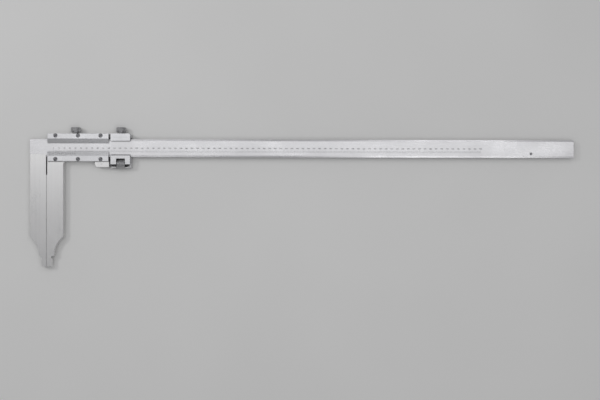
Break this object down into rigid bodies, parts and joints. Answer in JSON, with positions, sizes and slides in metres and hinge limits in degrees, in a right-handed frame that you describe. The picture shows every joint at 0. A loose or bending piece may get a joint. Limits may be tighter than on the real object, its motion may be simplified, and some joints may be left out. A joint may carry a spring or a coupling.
{
  "type": "vernier caliper",
  "caption": "Long-jaw vernier caliper with nib tips, a sliding jaw that follows a graduated beam, and a fine-adjustment carriage with a knurled nut.",
  "frame": {"origin": "on the fixed jaw's measuring plane (X = 0), level with the beam's lower edge (Y = 0), on the surface that the caliper lies on (Z = 0)", "axes": "+X along the beam, away from the jaws, the way the slider opens; +Y from the jaws towards the beam; +Z out of the graduated face"},
  "size_m": [0.9805, 0.2511, 0.0182],
  "materials": {
    "beam_steel": "satin, brushed along the beam",
    "jaw_steel": "satin ground",
    "frame_steel": "satin ground",
    "plate_satin_chrome": "satin chrome",
    "screw_steel": "turned, slightly dark",
    "knurled_steel": "knurled and plated",
    "brass": "turned"
  },
  "bodies": {
    "beam": {"beam": "beam_steel", "fixed_jaw": "jaw_steel", "fixed_jaw_pins": "screw_steel", "stop_screw": "screw_steel"},
    "slider": {"slider_body": "jaw_steel", "upper_plate": "plate_satin_chrome", "lower_vernier_plate": "plate_satin_chrome", "upper_plate_screws": "screw_steel", "lower_plate_screws": "screw_steel", "slider_gib": "frame_steel", "gib_set_screws": "screw_steel", "fine_screw": "screw_steel", "fine_screw_pin": "screw_steel"},
    "slider_shoe": {"slider_clamp_shoe": "brass"},
    "slider_knob": {"slider_clamp_screw": "knurled_steel"},
    "carriage": {"carriage_body": "frame_steel", "carriage_upper_cover": "plate_satin_chrome", "carriage_lower_cover": "plate_satin_chrome", "carriage_cover_screws": "screw_steel", "carriage_gib": "frame_steel"},
    "nut": {"fine_nut": "knurled_steel"},
    "carriage_shoe": {"carriage_clamp_shoe": "brass"},
    "carriage_knob": {"carriage_clamp_screw": "knurled_steel"}
  },
  "joints": [
    {"name": "slider_travel", "type": "slide", "parent": "beam", "child": "slider", "axis": [1, 0, 0], "range_m": [0, 0.755]},
    {"name": "fine_adjust", "type": "slide", "parent": "slider", "child": "carriage", "axis": [1, 0, 0], "range_m": [-0.0025, 0.008]},
    {"name": "nut_spin", "type": "hinge", "parent": "carriage", "child": "nut", "pos_m": [0.1339, -0.013, 0.0092], "axis": [1, 0, 0], "range_deg": [-1800, 5760]},
    {"name": "slider_clamp_press", "type": "slide", "parent": "slider", "child": "slider_shoe", "axis": [0, -1, 0], "range_m": [-0.0008, 0.0002]},
    {"name": "slider_clamp_turn", "type": "hinge", "parent": "slider_shoe", "child": "slider_knob", "pos_m": [0.0517, 0.045, 0.0092], "axis": [0, -1, 0], "range_deg": [-360, 90]},
    {"name": "carriage_clamp_press", "type": "slide", "parent": "carriage", "child": "carriage_shoe", "axis": [0, -1, 0], "range_m": [-0.0008, 0.0002]},
    {"name": "carriage_clamp_turn", "type": "hinge", "parent": "carriage_shoe", "child": "carriage_knob", "pos_m": [0.1337, 0.045, 0.0092], "axis": [0, -1, 0], "range_deg": [-360, 90]}
  ],
  "couplings": [
    {"joint": "nut_spin", "follows": "fine_adjust", "rad_per_m": 12566},
    {"joint": "slider_clamp_turn", "follows": "slider_clamp_press", "rad_per_m": 7854},
    {"joint": "carriage_clamp_turn", "follows": "carriage_clamp_press", "rad_per_m": 7854}
  ]
}
